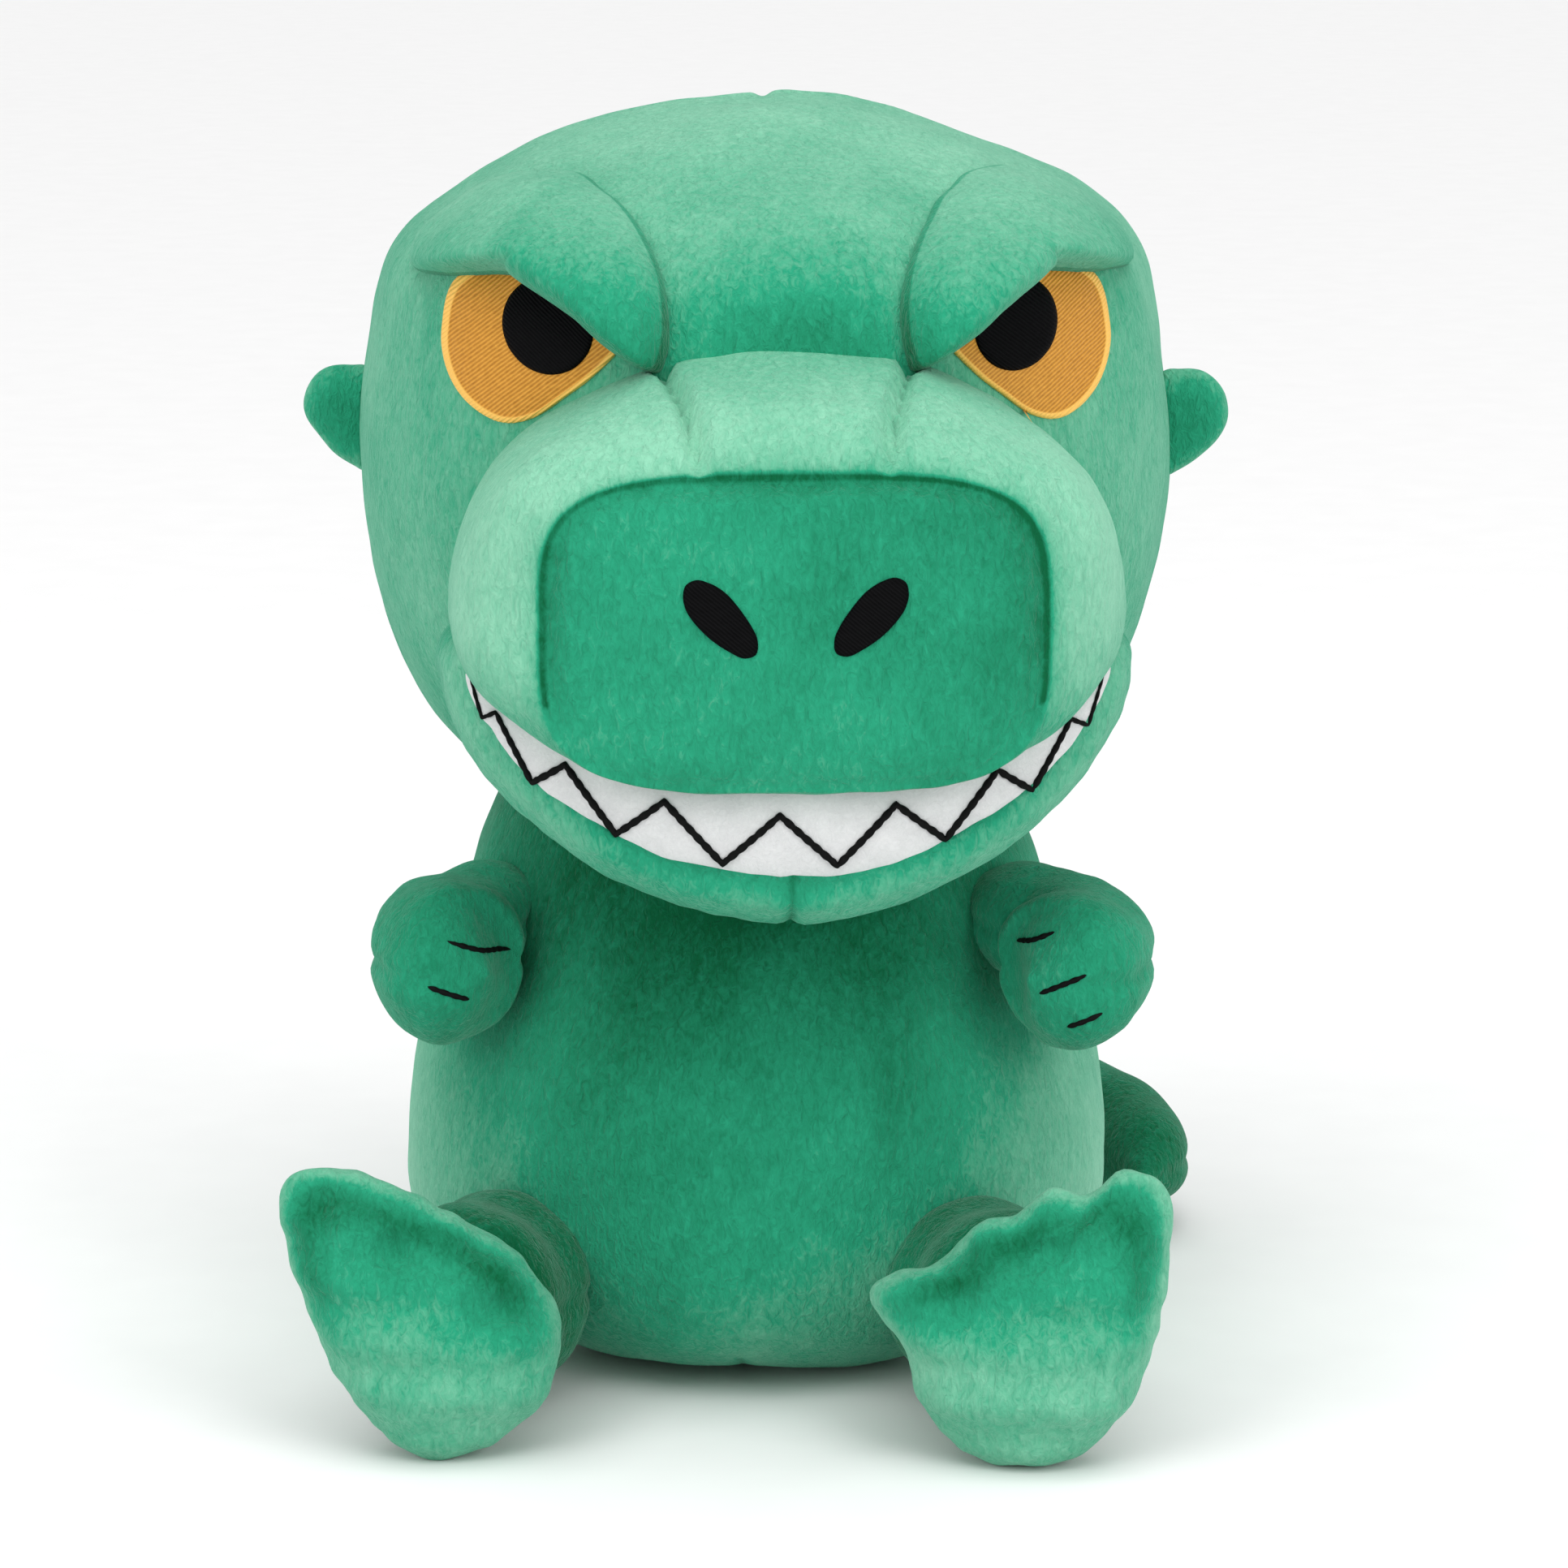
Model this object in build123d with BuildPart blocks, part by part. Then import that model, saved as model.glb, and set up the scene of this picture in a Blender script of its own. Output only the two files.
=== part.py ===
"""Sitting stuffed dinosaur: sewn pile-fabric panels round stuffing, with a turned head,
stub arms, splayed feet and a curled tail. Millimetres, +Z up, the belly faces -Y, and the
origin is the middle of the flat seat. The head is turned a little to its right-hand side."""

from build123d import *
from math import copysign, cos, pi, radians, sin, sqrt
import os

os.makedirs("parts", exist_ok=True)

# Fabric and clearances
fabric = 2.0  # pile fabric with its pile
joint_gap = 0.5  # between a sewn-on limb and what it turns against
felt = 2.0  # white felt of the teeth
patch = 0.8  # an embroidered eye or nostril
thread = 0.8  # width of a line of stitches

# Body, a pear standing on a flat seat, with a ball for a neck
belly_radius = 58.0
belly_height = 31.0
seat_radius = 34.0
neck_radius = 46.0
neck_height = 70.0
bag_radius = 28.0  # bag of pellets that weights the seat
bag_height = 14.0

# Head
head_radius = 65.5
head_height = 119.0
head_lift = 14.0  # from the neck ball's centre to the lowest point of the head
head_back = 3.0  # how far the head's axis stands behind the neck's
head_turn = 5.5  # degrees
gusset = 39.0  # width of the strip that runs over forehead and snout

# Snout and jaw
muzzle_length = 25.5  # beyond the front of the head
muzzle_width = 104.0
muzzle_rise = 38.0  # above the level of the widest line
muzzle_drop = 25.0
nose_width = 75.0
nose_height = 42.0
jaw_width = 106.0
jaw_height = 78.0  # of the whole oval whose lower end is the jaw
jaw_setback = 12.0  # how far the jaw stops short of the nose
jaw_rim = 6.7
teeth = 7

# Eyes and brows
eye_spread = 38.5  # from the middle of the face to the middle of an eye
eye_width = 27.0
eye_height = 22.0
pupil_radius = 7.3
brow_puff = 6.0

# Ears
ear_length = 10.0
ear_height = 17.0
ear_thickness = 5.0
ear_gap = 0.8

# Arms
shoulder_height = 75.0
shoulder_angle = 60.0  # round the body, from straight ahead
shoulder_ball = 10.0
arm_length = 22.0  # from the shoulder to the middle of the paw
paw_radius = 12.8

# Legs and feet
hip_angle = 39.0
hip_height = 18.0
hip_ball = 15.0
leg_radius = 13.0
leg_length = 31.0  # from the hip to the middle of the foot
foot_thickness = 18.0
heel_radius = 19.5
toe_radius = 7.0
toe_rise = 15.5  # of the middle toe above the middle of the heel
toe_step = 17.0  # from toe to toe
toe_slope = 26.0  # degrees that the row of toes climbs outwards

# Tail
tail_angle = 4.0  # round the body, from straight behind
tail_height = 21.0
tail_ball = 15.0
tail_root = 13.5
tail_tip = 8.5
tail_curl = 33.0  # radius of the curl
tail_sweep = 180.0  # degrees

# The face is drawn on a plane that looks where the head looks, seen from in front:
# its x is to the viewer's right, its y is up, and its offset is the way forward.
turn = radians(head_turn)
FACE = Plane(origin=(0, 0, 0), x_dir=(cos(turn), sin(turn), 0), z_dir=(sin(turn), -cos(turn), 0))
SIDES = {"left": -1, "right": 1}  # as seen from in front

head_bottom = neck_height + head_lift
head_top = head_bottom + head_height
head_middle = head_bottom + 0.52 * head_height
head_front = head_radius - head_back
muzzle_reach = head_front + muzzle_length
muzzle_centre = head_bottom + 0.4 * head_height
nose_centre = muzzle_centre + 1.5
lip = muzzle_centre - muzzle_drop
jaw_reach = muzzle_reach - jaw_setback
jaw_centre = head_bottom + jaw_height / 2 - 0.5
eye_level = head_bottom + 0.7 * head_height
pupil_level = eye_level + 5.0
far = 3 * (head_radius + muzzle_length)  # longer than anything it has to cut


def save(piece, node):
    """Label a finished piece and write it as its own file."""
    piece.part.label = node
    export_step(piece.part, f"parts/{node}.step")


def pear(inset):
    """The body and neck, drawn this far inside their surface."""
    with BuildPart() as solid:
        with BuildSketch(Plane.XZ):
            with BuildLine():
                seat_edge = (seat_radius - inset, inset)
                belly = (belly_radius - inset, belly_height)
                waist = (
                    neck_radius + 0.6 * (belly_radius - neck_radius) - inset,
                    (belly_height + neck_height) / 2,
                )
                collar = (neck_radius - inset, neck_height)
                crown = (0, neck_height + neck_radius - inset)
                Line((0, inset), seat_edge)
                Spline(seat_edge, belly, waist, collar, tangents=[(1, 0.35), (0, 1)])
                CenterArc((0, neck_height), neck_radius - inset, 0, 90)
                Line(crown, (0, inset))
            make_face()
        revolve(axis=Axis.Z)
    return solid.part


def egg(grow):
    """The rounded head without its snout, drawn this far outside its surface. Its lower half
    is fuller than its upper half, which is an ellipse."""
    profile = []
    for step in range(-6, 7):
        out, up = cos(step * pi / 12), sin(step * pi / 12)
        height, square = (head_top - head_middle, 2.0) if up > 0 else (head_middle - head_bottom, 2.6)
        profile.append(
            (
                (head_radius + grow) * max(out, 0) ** (2 / square) if abs(step) < 6 else 0,
                head_middle + copysign(abs(up) ** (2 / square), up) * (height + grow),
            )
        )
    with BuildPart() as solid:
        with BuildSketch(Plane.XZ.offset(-head_back)):
            with BuildLine():
                Spline(*profile, tangents=[(1, 0), (-1, 0)])
                Line(profile[-1], profile[0])
            make_face()
        revolve(axis=Axis((0, head_back, 0), (0, 0, 1)))
    return solid.part


def ball(centre, radius):
    """A whole ball about a joint."""
    with BuildPart() as solid:
        with Locations(centre):
            Sphere(radius)
    return solid.part


def muzzle(inset):
    """The snout, from inside the head to the flat of the nose. Each level is an oval whose
    upper and lower halves have their own height and squareness (2 is an ellipse)."""
    levels = (
        (head_front / 2, muzzle_width, muzzle_rise, muzzle_drop, 2.0, 2.8, muzzle_centre),
        (muzzle_reach - 18.0, muzzle_width - 4.0, muzzle_rise - 3.0, muzzle_drop, 2.2, 2.8, muzzle_centre),
        (muzzle_reach - inset, nose_width, nose_height / 2, nose_height / 2, 4.0, 4.0, nose_centre),
    )
    with BuildPart() as solid:
        for reach, width, rise, drop, upper, lower, centre in levels:
            outline = []
            for step in range(16):
                across, up = cos(step * pi / 8), sin(step * pi / 8)
                height, square = (rise, upper) if up > 0 else (drop, lower)
                outline.append(
                    (
                        copysign(abs(across) ** (2 / square), across) * (width / 2 - inset),
                        centre + copysign(abs(up) ** (2 / square), up) * (height - inset),
                    )
                )
            with BuildSketch(FACE.offset(reach)):
                with BuildLine():
                    Spline(*outline, periodic=True)
                make_face()
        loft()
    return solid.part


def jaw_oval(inset, near, reach):
    """The oval whose lower end is the jaw, from one distance forward to another."""
    with BuildPart() as solid:
        for distance, taper in ((near, 0.0), (reach, 3.0)):
            with BuildSketch(FACE.offset(distance)):
                with Locations((0, jaw_centre)):
                    Ellipse(jaw_width / 2 - taper - inset, jaw_height / 2 - taper / 2 - inset)
        loft()
    return solid.part


def forward(outline, near, reach):
    """A block with this outline on the face, from one distance forward to another."""
    with BuildPart() as solid:
        with BuildSketch(FACE.offset(near)):
            add(outline)
        extrude(amount=reach - near)
    return solid.part


def face_block(low, high, near, reach):
    """A square-cut block in front of the face, for cutting panels apart."""
    with BuildSketch() as square:
        with Locations(((low[0] + high[0]) / 2, (low[1] + high[1]) / 2)):
            Rectangle(high[0] - low[0], high[1] - low[1])
    return forward(square.sketch, near, reach)


def brow_outline(side):
    """An overhanging lid: straight on its inner side, crowned above, hollow below."""
    inner, outer = side * 18.5, side * 57.5
    with BuildSketch() as shape:
        with BuildLine():
            foot = (inner, eye_level - 1.0)
            shoulder = (inner, eye_level + 14.0)
            corner = (outer, eye_level + 15.0)
            Line(foot, shoulder)
            Spline(shoulder, (side * 36.0, eye_level + 26.5), corner)
            Spline(corner, (side * 38.0, eye_level + 9.5), foot)
        make_face()
    return shape.sketch


def around(height):
    """Distance of the body's side from its axis, at a height on the neck ball."""
    return sqrt(neck_radius**2 - (height - neck_height) ** 2)


# Where the limbs are sewn on
shoulder_reach = around(shoulder_height)
hip_reach = belly_radius - 2.0
tail_reach = belly_radius - 3.0
neck = (0, 0, neck_height)
shoulder = {
    side: (
        sign * shoulder_reach * sin(radians(shoulder_angle)),
        -shoulder_reach * cos(radians(shoulder_angle)),
        shoulder_height,
    )
    for side, sign in SIDES.items()
}
hip = {
    side: (
        sign * hip_reach * sin(radians(hip_angle)),
        -hip_reach * cos(radians(hip_angle)),
        hip_height,
    )
    for side, sign in SIDES.items()
}
rump = (
    tail_reach * sin(radians(tail_angle)),
    tail_reach * cos(radians(tail_angle)),
    tail_height,
)

# Hollows that the limbs turn in
pockets = [ball(shoulder[side], shoulder_ball + joint_gap) for side in SIDES]
pockets += [ball(hip[side], hip_ball + joint_gap) for side in SIDES]
pockets += [ball(rump, tail_ball + joint_gap)]
collar_hollow = ball(neck, neck_radius + joint_gap)

# Body: a round seat, a belly panel and two back panels
with BuildPart() as skin:
    add(pear(0))
    add(pear(fabric), mode=Mode.SUBTRACT)
    add(pockets, mode=Mode.SUBTRACT)
body_skin = skin.part

with BuildPart() as seat:
    add(body_skin)
    with Locations((0, 0, fabric / 2)):
        Cylinder(seat_radius - fabric, fabric, mode=Mode.INTERSECT)
save(seat, "seat_panel")

with BuildPart() as belly:
    add(body_skin)
    add(seat.part, mode=Mode.SUBTRACT)
    split(bisect_by=Plane.XZ, keep=Keep.TOP)
save(belly, "belly_panel")

for side, keep in (("left", Keep.BOTTOM), ("right", Keep.TOP)):
    with BuildPart() as back:
        add(body_skin)
        add(seat.part, mode=Mode.SUBTRACT)
        split(bisect_by=Plane.XZ, keep=Keep.BOTTOM)
        split(bisect_by=Plane.YZ, keep=keep)
    save(back, f"back_{side}_panel")

with BuildPart() as bag:
    with Locations((0, 0, fabric + 1.0 + bag_height / 2)):
        Cylinder(bag_radius, bag_height)
    fillet(bag.edges().filter_by(GeomType.CIRCLE), bag_height * 0.4)
save(bag, "pellet_bag")

with BuildPart() as stuffing:
    add(pear(fabric))
    add(pockets, mode=Mode.SUBTRACT)
    add(bag.part, mode=Mode.SUBTRACT)
save(stuffing, "body_stuffing")

# Snout: a nose panel in front, a strip on top and a cheek each side
snout_shell = muzzle(0)
snout_core = muzzle(fabric)
head_core = egg(-fabric)
nose_side = muzzle_reach - 7.0
nose_block = face_block((-nose_width / 2 - 4, lip - 1), (nose_width / 2 + 4, head_top), nose_side, far)
top_block = face_block((-gusset / 2, muzzle_centre), (gusset / 2, far), 0, nose_side)

with BuildPart() as skin:
    add(snout_shell)
    add([snout_core, head_core, collar_hollow], mode=Mode.SUBTRACT)
snout_skin = skin.part

with BuildPart() as nose:
    add(snout_skin)
    add(nose_block, mode=Mode.INTERSECT)
save(nose, "nose_panel")

with BuildPart() as snout_top:
    add(snout_skin)
    add(top_block, mode=Mode.INTERSECT)
save(snout_top, "snout_top_panel")

HALF = Plane(origin=(0, 0, 0), x_dir=FACE.z_dir, z_dir=FACE.x_dir)
for side, keep in (("left", Keep.BOTTOM), ("right", Keep.TOP)):
    with BuildPart() as snout_side:
        add(snout_skin)
        add([nose_block, top_block], mode=Mode.SUBTRACT)
        split(bisect_by=HALF, keep=keep)
    save(snout_side, f"snout_{side}_panel")

with BuildPart() as snout_fill:
    add(snout_core)
    add([head_core, collar_hollow], mode=Mode.SUBTRACT)
save(snout_fill, "snout_stuffing")

for side, sign in SIDES.items():
    with BuildPart() as nostril:
        with BuildSketch(FACE.offset(muzzle_reach)):
            with Locations((sign * 11.5, nose_centre)):
                Ellipse(6.9, 2.9, rotation=sign * 40)
        extrude(amount=patch)
    save(nostril, f"{side}_nostril")

# Jaw: a padded rim in two halves round the felt teeth
with BuildPart() as jaw:
    add(jaw_oval(0, head_front / 2, jaw_reach))
    add([snout_shell, head_core, collar_hollow], mode=Mode.SUBTRACT)
    split(bisect_by=Plane.XY.offset(muzzle_centre), keep=Keep.BOTTOM)
jaw_solid = jaw.part
mouth = jaw_oval(jaw_rim, head_front / 2, jaw_reach + felt)
tooth_back = jaw_reach - 2 * felt
tooth_face = jaw_reach - felt

for side, keep in (("left", Keep.BOTTOM), ("right", Keep.TOP)):
    with BuildPart() as rim:
        add(jaw_solid)
        add(mouth, mode=Mode.SUBTRACT)
        split(bisect_by=HALF, keep=keep)
    save(rim, f"jaw_{side}_panel")

with BuildPart() as jaw_fill:
    add(jaw_solid)
    add(mouth, mode=Mode.INTERSECT)
    split(bisect_by=FACE.offset(tooth_back), keep=Keep.BOTTOM)
save(jaw_fill, "jaw_stuffing")

with BuildPart() as band:
    add(jaw_solid)
    add(mouth, mode=Mode.INTERSECT)
    split(bisect_by=FACE.offset(tooth_back), keep=Keep.TOP)
    split(bisect_by=FACE.offset(tooth_face), keep=Keep.BOTTOM)
save(band, "teeth_band")

# The teeth are a zigzag of black stitches along the band
tooth_arc = 112.0  # degrees of the jaw's oval that the teeth take up
tooth_points = []
for step in range(2 * teeth + 1):
    angle = radians(-90 - tooth_arc / 2 + tooth_arc * step / (2 * teeth))
    depth = jaw_rim + (1.8 if step % 2 else 8.0)
    half_width, half_height = jaw_width / 2 - 3.0 - depth, jaw_height / 2 - 1.5 - depth
    tooth_points.append((half_width * cos(angle), jaw_centre + half_height * sin(angle)))

with BuildPart() as stitches:
    with BuildSketch(FACE.offset(tooth_face)):
        with BuildLine():
            Polyline(tooth_points)
        trace(line_width=thread)
    extrude(amount=thread)
    add(snout_shell, mode=Mode.SUBTRACT)
save(stitches, "tooth_stitches")

# Head: a forehead strip and two cheeks in front, two panels behind
with BuildPart() as skin:
    add(egg(0))
    add([head_core, snout_shell, collar_hollow], mode=Mode.SUBTRACT)
    add(jaw_oval(0, head_front / 2, jaw_reach), mode=Mode.SUBTRACT)
head_skin = skin.part
forehead_block = face_block((-gusset / 2, muzzle_centre), (gusset / 2, far), 0, far)

with BuildPart() as forehead:
    add(head_skin)
    add(forehead_block, mode=Mode.INTERSECT)
save(forehead, "forehead_panel")

for side, keep in (("left", Keep.BOTTOM), ("right", Keep.TOP)):
    with BuildPart() as cheek:
        add(head_skin)
        add(forehead_block, mode=Mode.SUBTRACT)
        split(bisect_by=FACE, keep=Keep.TOP)
        split(bisect_by=HALF, keep=keep)
    save(cheek, f"{side}_cheek_panel")

    with BuildPart() as nape:
        add(head_skin)
        split(bisect_by=FACE, keep=Keep.BOTTOM)
        split(bisect_by=HALF, keep=keep)
    save(nape, f"head_back_{side}_panel")

with BuildPart() as head_fill:
    add(head_core)
    add(collar_hollow, mode=Mode.SUBTRACT)
save(head_fill, "head_stuffing")

# Brows and embroidered eyes lie in layers on the head
for side, sign in SIDES.items():
    lid = forward(brow_outline(sign), head_front / 4, far)
    with BuildPart() as brow:
        add(egg(brow_puff))
        add([egg(0), snout_shell], mode=Mode.SUBTRACT)
        add(lid, mode=Mode.INTERSECT)
    save(brow, f"{side}_brow")

    with BuildSketch() as eye_shape:
        with Locations((sign * eye_spread, eye_level)):
            Ellipse(eye_width / 2, eye_height / 2)
    with BuildPart() as eye:
        add(egg(patch))
        add(egg(0), mode=Mode.SUBTRACT)
        add(forward(eye_shape.sketch, 0, far), mode=Mode.INTERSECT)
        add([lid, snout_shell], mode=Mode.SUBTRACT)
    save(eye, f"{side}_eye")

    with BuildSketch() as pupil_shape:
        with Locations((sign * (eye_spread - 2.0), pupil_level)):
            Circle(pupil_radius)
    with BuildPart() as pupil:
        add(egg(2 * patch))
        add(egg(patch), mode=Mode.SUBTRACT)
        add(forward(pupil_shape.sketch, 0, far), mode=Mode.INTERSECT)
        add([lid, snout_shell], mode=Mode.SUBTRACT)
    save(pupil, f"{side}_pupil")

# Ears: two small leaves of fabric each, on the widest line of the head
ear_level = head_bottom + 0.56 * head_height
for side, sign in SIDES.items():
    ear_root = sign * (head_radius + ear_gap)
    for leaf, start in (("front", head_back - ear_thickness / 2), ("back", head_back)):
        with BuildPart() as ear:
            with BuildSketch(Plane.XZ.offset(-start)):
                with Locations((ear_root, ear_level)):
                    Ellipse(ear_length, ear_height / 2)
                with Locations((ear_root - sign * ear_length, ear_level)):
                    Rectangle(2 * ear_length, 2 * ear_height, mode=Mode.SUBTRACT)
            extrude(amount=-ear_thickness / 2)
        save(ear, f"{side}_ear_{leaf}")

# Arms: a stuffed bud on a narrow waist, with a round palm sewn in front
def bud(plane, inset):
    """An arm along this plane's x, from its ball to its paw, this far inside its surface."""
    ball_radius, palm_radius = shoulder_ball - inset, paw_radius - inset
    with BuildPart() as solid:
        with BuildSketch(plane):
            with BuildLine():
                hand = CenterArc((arm_length, 0), palm_radius, 0, 120)
                upper = CenterArc((0, 0), ball_radius, 50, 130)
                Line(hand @ 1, upper @ 0)
                Line(upper @ 1, hand @ 0)
            make_face()
        revolve(axis=Axis(plane.origin, plane.x_dir))
    return solid.part


for side, sign in SIDES.items():
    along = Vector(sign * 0.45, -0.865, -0.226)
    arm_plane = Plane(origin=shoulder[side], x_dir=along, z_dir=along.cross(Vector(0, 0, 1)))
    palm_seam = Plane(origin=shoulder[side], z_dir=along).offset(arm_length + 0.35 * paw_radius)
    with BuildPart() as arm_skin:
        add(bud(arm_plane, 0))
        add(bud(arm_plane, fabric), mode=Mode.SUBTRACT)

    with BuildPart() as sleeve:
        add(arm_skin.part)
        split(bisect_by=palm_seam, keep=Keep.BOTTOM)
    save(sleeve, f"{side}_arm_sleeve")

    with BuildPart() as palm:
        add(arm_skin.part)
        split(bisect_by=palm_seam, keep=Keep.TOP)
    save(palm, f"{side}_palm_panel")

    with BuildPart() as arm_fill:
        add(bud(arm_plane, fabric))
    save(arm_fill, f"{side}_arm_stuffing")

    # Three short rows of stitches on the palm mark the claws
    palm_front = Plane(
        origin=arm_plane.origin + arm_plane.x_dir * arm_length, x_dir=(1, 0, 0), z_dir=along
    )
    with BuildPart() as claws:
        with BuildSketch(palm_front):
            with GridLocations(0, 6.0, 1, 3):
                Rectangle(8.0, thread, rotation=sign * 25)
        extrude(amount=2 * paw_radius)
        with Locations(palm_front):
            Sphere(paw_radius + thread / 2, mode=Mode.INTERSECT)
            Sphere(paw_radius, mode=Mode.SUBTRACT)
    save(claws, f"{side}_claw_stitches")


# Legs: a tube from a ball at the hip, with a flat stuffed foot that stands on its heel
def leg(side, inset):
    """The leg's ball and tube, drawn this far inside their surface."""
    along = Vector(SIDES[side] * 0.36, -0.93, 0.05)
    with BuildPart() as solid:
        with BuildSketch(Plane(origin=hip[side], z_dir=along)):
            Circle(leg_radius - inset)
        extrude(amount=leg_length)
        with Locations(hip[side]):
            Sphere(hip_ball - inset)
    return solid.part


def foot(side, inset):
    """The foot's rounded slab, heel down and toes up, this far inside its surface."""
    sign = SIDES[side]
    middle = hip[side][0] + sign * 0.36 * leg_length
    sole = hip[side][1] - 0.93 * leg_length - foot_thickness / 2
    with BuildPart() as solid:
        with BuildSketch(Plane.XZ.offset(-sole - foot_thickness + inset)):
            with Locations((middle, heel_radius)):
                Circle(heel_radius - inset)
            for toe in (-1, 0, 1):
                across = toe * toe_step * cos(radians(toe_slope))
                up = toe_rise + toe * toe_step * sin(radians(toe_slope))
                with Locations((middle + sign * across, heel_radius + up)):
                    Circle(toe_radius - inset)
            make_hull()
        extrude(amount=foot_thickness - 2 * inset)
        faces = solid.faces().sort_by(Axis.Y)
        fillet([*faces[0].edges(), *faces[-1].edges()], 6.0 - inset)
    return solid.part


for side in SIDES:
    sole_line = hip[side][1] - 0.93 * leg_length
    with BuildPart() as leg_tube:
        add(leg(side, 0))
        add([leg(side, fabric), foot(side, 0)], mode=Mode.SUBTRACT)
    save(leg_tube, f"{side}_leg_sleeve")

    with BuildPart() as foot_skin:
        add(foot(side, 0))
        add([foot(side, fabric), leg(side, fabric)], mode=Mode.SUBTRACT)
    with BuildPart() as sole:
        add(foot_skin.part)
        split(bisect_by=Plane.XZ.offset(-sole_line), keep=Keep.TOP)
    save(sole, f"{side}_sole_panel")

    with BuildPart() as instep:
        add(foot_skin.part)
        split(bisect_by=Plane.XZ.offset(-sole_line), keep=Keep.BOTTOM)
    save(instep, f"{side}_instep_panel")

    with BuildPart() as leg_fill:
        add(leg(side, fabric))
        add(foot(side, fabric))
    save(leg_fill, f"{side}_leg_stuffing")


# Tail: a tapering tube that leaves the rump and curls forwards along the body
def tail(inset):
    """The tail's ball, its curled taper and its round tip, this far inside the surface."""
    start = radians(90 - tail_angle - 20)  # direction in which it leaves the body
    centre = Vector(*rump) + Vector(sin(start), -cos(start), 0) * tail_curl
    steps = 8
    with BuildPart() as solid:
        for step in range(steps + 1):
            bend = radians(tail_sweep * step / steps)
            heading = start - bend
            middle = centre + Vector(-sin(heading), cos(heading), 0) * tail_curl
            with BuildSketch(Plane(origin=middle, z_dir=(cos(heading), sin(heading), 0))):
                Circle(tail_root + (tail_tip - tail_root) * step / steps - inset)
        loft()
        with Locations(rump):
            Sphere(tail_ball - inset)
        with Locations(middle):
            Sphere(tail_tip - inset)
    return solid.part


with BuildPart() as tail_skin:
    add(tail(0))
    add(tail(fabric), mode=Mode.SUBTRACT)

for name, keep in (("upper", Keep.TOP), ("lower", Keep.BOTTOM)):
    with BuildPart() as tail_panel:
        add(tail_skin.part)
        split(bisect_by=Plane.XY.offset(tail_height), keep=keep)
    save(tail_panel, f"tail_{name}_panel")

with BuildPart() as tail_fill:
    add(tail(fabric))
save(tail_fill, "tail_stuffing")
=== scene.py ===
# %% [markdown]
# # A stuffed dinosaur, sewn from pile fabric
# The toy is made of closed, stuffed forms: a big head with a square snout, a pear-shaped
# body, two mitten arms, two flat feet and a curled tail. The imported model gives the
# bodies, joints and sizes. The looks are built around it here, piece by piece.

# %% Load the frame
from math import asin, atan2, cos, exp, hypot, pi, radians, sin, sqrt

import bmesh
import bpy
from mathutils import Matrix, Vector, noise
from mathutils.bvhtree import BVHTree


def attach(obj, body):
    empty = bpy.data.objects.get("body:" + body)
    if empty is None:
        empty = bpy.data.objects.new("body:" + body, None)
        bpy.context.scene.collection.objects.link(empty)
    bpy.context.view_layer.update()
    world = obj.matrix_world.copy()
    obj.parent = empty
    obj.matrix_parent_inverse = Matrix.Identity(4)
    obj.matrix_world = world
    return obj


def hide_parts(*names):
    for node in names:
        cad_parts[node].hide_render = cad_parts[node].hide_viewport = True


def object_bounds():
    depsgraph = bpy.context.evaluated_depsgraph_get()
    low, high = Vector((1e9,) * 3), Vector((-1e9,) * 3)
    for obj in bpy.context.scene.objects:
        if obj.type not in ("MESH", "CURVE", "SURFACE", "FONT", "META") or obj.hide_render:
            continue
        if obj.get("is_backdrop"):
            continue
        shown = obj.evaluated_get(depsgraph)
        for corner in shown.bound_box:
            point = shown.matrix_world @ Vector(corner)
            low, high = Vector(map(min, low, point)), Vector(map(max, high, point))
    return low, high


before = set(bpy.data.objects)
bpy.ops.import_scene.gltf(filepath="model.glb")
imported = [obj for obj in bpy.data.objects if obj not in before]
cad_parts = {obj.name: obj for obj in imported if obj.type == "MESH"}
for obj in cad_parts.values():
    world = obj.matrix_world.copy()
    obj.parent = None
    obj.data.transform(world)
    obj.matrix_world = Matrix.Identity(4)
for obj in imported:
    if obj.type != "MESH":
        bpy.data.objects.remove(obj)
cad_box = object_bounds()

MM = 0.001

# %% [markdown]
# ## How the forms are made
# A sewn and stuffed form is a closed bag. Modelling one from a flat grid would leave a
# border to close, so each bag starts as a UV sphere, whose rings are then moved to where
# the fabric goes. A form that has a front seam and a back seam can so be drawn by a few
# outlines, and the sphere's pole sits in the middle of a panel, where nobody looks for it.

# %% A smooth line through a few points
def through(points, share, closed=False):
    """The place at this share (0 to 1) of a smooth line through the points."""
    count = len(points) if closed else len(points) - 1
    position = (share % 1.0 if closed else fraction(share)) * count
    index = min(int(position), count - 1)
    part = position - index
    if closed:
        a, b, c, d = (points[(index + k) % len(points)] for k in (-1, 0, 1, 2))
    else:
        a, b, c, d = (points[min(max(index + k, 0), len(points) - 1)] for k in (-1, 0, 1, 2))
    return tuple(
        0.5 * (2 * q + (r - p) * part + (2 * p - 5 * q + 4 * r - s) * part**2
               + (3 * q - p - 3 * r + s) * part**3)
        for p, q, r, s in zip(a, b, c, d)
    )


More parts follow.
